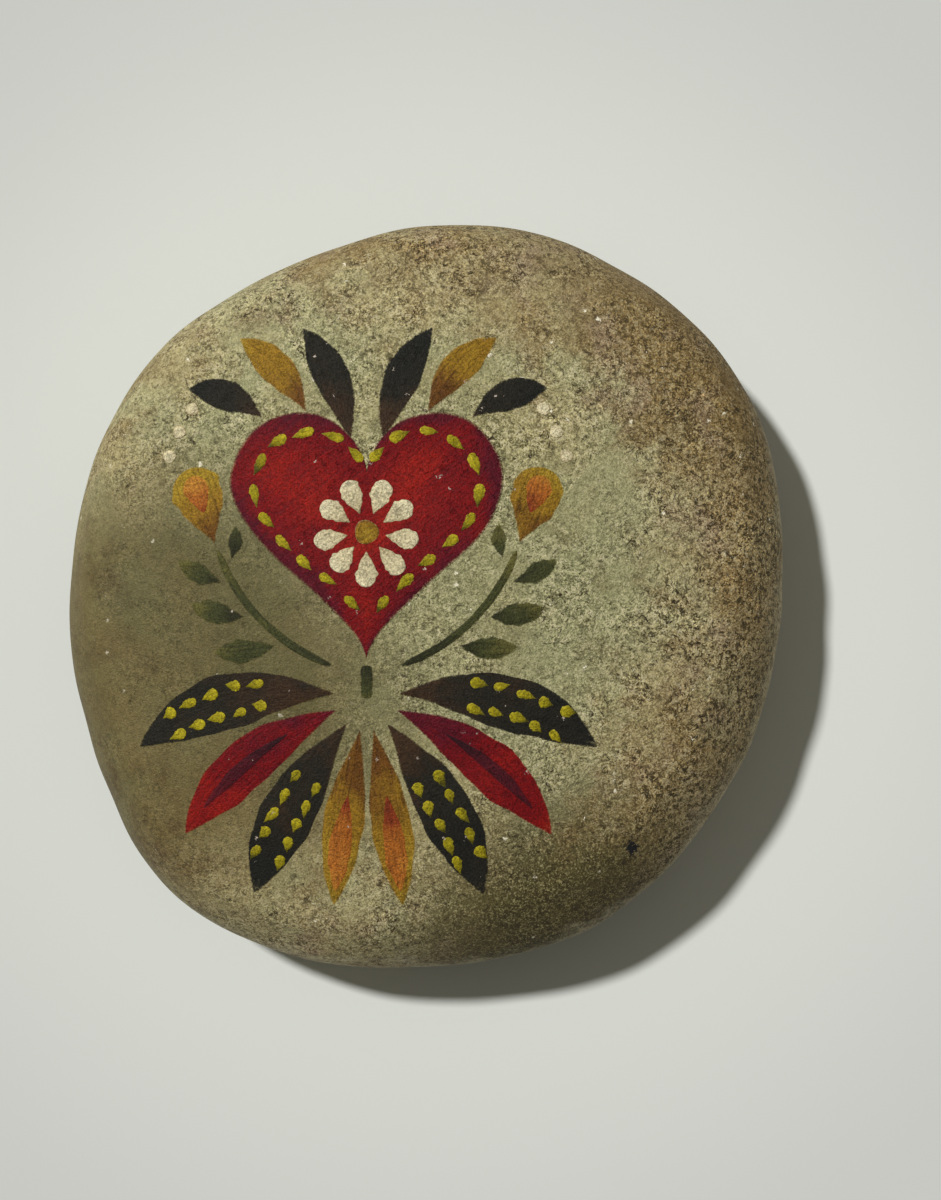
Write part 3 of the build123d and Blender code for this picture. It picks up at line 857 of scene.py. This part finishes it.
daisy_middle = np.array([[picture_x, daisy_y]])
daisy_rim = discs(daisy_middle, daisy_radius, 48)
daisy_centre = patch_film(
    "daisy_centre_paint", daisy_middle, daisy_rim, second_coat, thick=0.12, rings=12, soft=0.3
)
daisy_centre.data.materials.append(ochre_paint)
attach(daisy_centre, "root")
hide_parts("daisy_centre")


# Yellow dabs: thick touches of yellow just inside the heart's edge and in two rows on every dark
# plume, each with a round head and a short drawn tail.

dab_inset = 6.0
dab_width = 1.3
heart_dab_length = 2.8
plume_dab_length = 2.3
plume_dab_spread = 6.0
row_offset = 0.2
yellow_head = shade(168, 154, 28)
yellow_main = shade(142, 130, 18)
yellow_tail = shade(74, 70, 12)
yellow_paint = paint_finish("yellow_paint", yellow_head, yellow_main, yellow_tail, streak=0.4, wear=0.1)


def dab_film(name, strokes):
    """Second-coat dabs: thick, with uneven edges and a tail that runs half dry."""
    return stroke_film(
        name, strokes, drop_press, second_coat, thick=0.11, steps=24, lanes=9, wobble=0.25, dry=0.5
    )


half_turn = np.radians(2.0 * np.arange(91))
dab_line = heart_line(half_turn, heart_width - dab_inset, heart_height - dab_inset)
dab_walk = np.concatenate([[0.0], np.cumsum(np.linalg.norm(np.diff(dab_line, axis=0), axis=1))])
dab_goal = dab_walk[-1] * np.arange(1, 12) / 12
dab_step = np.searchsorted(dab_walk, dab_goal, side="right") - 1
dab_way = dab_line[dab_step + 1] - dab_line[dab_step]
dab_turn = np.arctan2(dab_way[:, 1], dab_way[:, 0])
dab_ahead = np.stack([np.cos(dab_turn), np.sin(dab_turn)], axis=-1)
dab_start = dab_line[dab_step] - heart_dab_length / 2 * dab_ahead
heart_dab_strokes = []
for start, turn in zip(dab_start, dab_turn):
    heart_dab_strokes.append((*start, np.degrees(turn), heart_dab_length, dab_width, 0.0))
heart_dab_strokes = by_hand(both_sides(heart_dab_strokes), turn=9.0, size=0.14)
heart_dabs = dab_film("heart_dab_paint", heart_dab_strokes)
heart_dabs.data.materials.append(yellow_paint)
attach(heart_dabs, "root")
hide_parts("heart_dabs")

plume_dab_strokes = []
for plume in dark_fan:
    for share in 0.34 + 0.105 * np.arange(5):
        line_x, line_y, line_turn = stroke_line(plume, share)
        for hand in (-1, 1):
            offset = hand * row_offset * plume[4]
            dab_x = line_x - offset * np.sin(line_turn)
            dab_y = line_y + offset * np.cos(line_turn)
            dab_heading = np.degrees(line_turn) + hand * plume_dab_spread
            plume_dab_strokes.append((dab_x, dab_y, dab_heading, plume_dab_length, dab_width, 0.0))
plume_dab_strokes = by_hand(plume_dab_strokes, turn=12.0, size=0.16)
plume_dabs = dab_film("plume_dab_paint", plume_dab_strokes)
plume_dabs.data.materials.append(yellow_paint)
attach(plume_dabs, "root")
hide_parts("plume_dabs")


# Ribs and tips: a deep crimson line along each red plume, and orange laid on each ochre plume.
# Both are strokes of the second coat that follow the bend of the plume below them.

def inner_strokes(plumes, start, share, width):
    """A stroke inside each plume, from a point part way along, with shares of its length and width."""
    laid = []
    for plume in plumes:
        x, y, turn = stroke_line(plume, start)
        laid.append((x, y, np.degrees(turn), plume[3] * share, plume[4] * width, plume[5] * share))
    return laid


crimson_root = shade(40, 8, 16)
crimson_main = shade(66, 12, 22)
crimson_tip = shade(88, 18, 26)
crimson_paint = paint_finish("crimson_paint", crimson_root, crimson_main, crimson_tip, streak=0.5, wear=0.0)
rib_strokes = inner_strokes(red_fan, start=0.25, share=0.6, width=0.26)
plume_ribs = stroke_film(
    "plume_rib_paint", rib_strokes, plume_press, second_coat, thick=0.05, steps=80, lanes=9
)
plume_ribs.data.materials.append(crimson_paint)
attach(plume_ribs, "root")
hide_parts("plume_ribs")

tip_strokes = inner_strokes(ochre_fan, start=0.36, share=0.56, width=0.56)
plume_tips = stroke_film(
    "plume_tip_paint", tip_strokes, plume_press, second_coat, thick=0.06, steps=70, lanes=13
)
plume_tips.data.materials.append(orange_paint)
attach(plume_tips, "root")
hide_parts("plume_tips")


# The table: a matt white sheet, painted brighter round the stone as a pool of light, with one soft lamp
# from the upper left and a weak even fill.
# The camera looks straight down on the stone, which lies a little left of the picture's middle.

table_half = 9.0
table_corners = [
    (-table_half, -table_half, 0.0),
    (table_half, -table_half, 0.0),
    (table_half, table_half, 0.0),
    (-table_half, table_half, 0.0),
]
table_mesh = bpy.data.meshes.new("table")
table_mesh.from_pydata(table_corners, [], [(0, 1, 2, 3)])
table = bpy.data.objects.new("table", table_mesh)
bpy.context.collection.objects.link(table)
table_finish = bpy.data.materials.new("white_table")
table_finish.use_nodes = True
tree = table_finish.node_tree
surface = tree.nodes["Principled BSDF"]
place = node(tree, "TexCoord", {}).outputs["Object"]
away = node(tree, "VectorMath", {0: place}, operation="LENGTH").outputs["Value"]
# Painted light: the white is lighter within 5 cm of the middle and dims out to 10 cm, a painted pool of
# light round the stone
paper_and_painted_light = tint(tree, fade(tree, away, 0.05, 0.10), shade(215, 218, 212), shade(200, 202, 198))
tree.links.new(paper_and_painted_light, surface.inputs["Base Color"])
surface.inputs["Roughness"].default_value = 0.8
surface.inputs["Specular IOR Level"].default_value = 0.2
table_mesh.materials.append(table_finish)

lamp_tilt = np.radians(35.6)
lamp_heading = np.radians(229.0)
lamp_data = bpy.data.lights.new("key_lamp", "SUN")
lamp_data.energy = 3.15
lamp_data.angle = np.radians(4.5)
lamp = bpy.data.objects.new("key_lamp", lamp_data)
lamp.rotation_euler = (lamp_tilt, 0.0, lamp_heading)
bpy.context.collection.objects.link(lamp)

# The fill is warm and a little stronger from the upper right
world = bpy.data.worlds.new("even_fill")
world.use_nodes = True
sky = world.node_tree
direction = node(sky, "TexCoord", {}).outputs["Generated"]
way = node(sky, "SeparateXYZ", {0: direction}).outputs
fill = plus(sky, times(sky, way[0], 0.05), times(sky, way[1], 0.09))
sky.links.new(plus(sky, fill, 0.17), sky.nodes["Background"].inputs["Strength"])
sky.nodes["Background"].inputs["Color"].default_value = (1.0, 0.95, 0.80, 1.0)

# Past the table's edge the eye sees a wall as pale as the table, which sheds no light on the stone
rays = node(sky, "LightPath", {})
seen = reckon(sky, "MAXIMUM", rays.outputs["Is Camera Ray"], rays.outputs["Is Glossy Ray"])
seen = reckon(sky, "MAXIMUM", seen, rays.outputs["Is Transmission Ray"])
wall = node(sky, "Background", {"Color": shade(203, 204, 197)}).outputs[0]
around = node(sky, "MixShader", {0: seen, 1: sky.nodes["Background"].outputs[0], 2: wall}).outputs[0]
sky.links.new(around, sky.nodes["World Output"].inputs["Surface"])
bpy.context.scene.world = world

eye_data = bpy.data.cameras.new("eye")
eye_data.sensor_width = 36.0
eye_data.lens = 72.0
eye_data.clip_start = 0.01
eye = bpy.data.objects.new("eye", eye_data)
eye.location = (0.0054, -0.0005, 0.314)
eye.rotation_euler = (0.0, 0.0, 0.0)
bpy.context.collection.objects.link(eye)
bpy.context.scene.camera = eye
bpy.context.scene.view_settings.view_transform = "Standard"
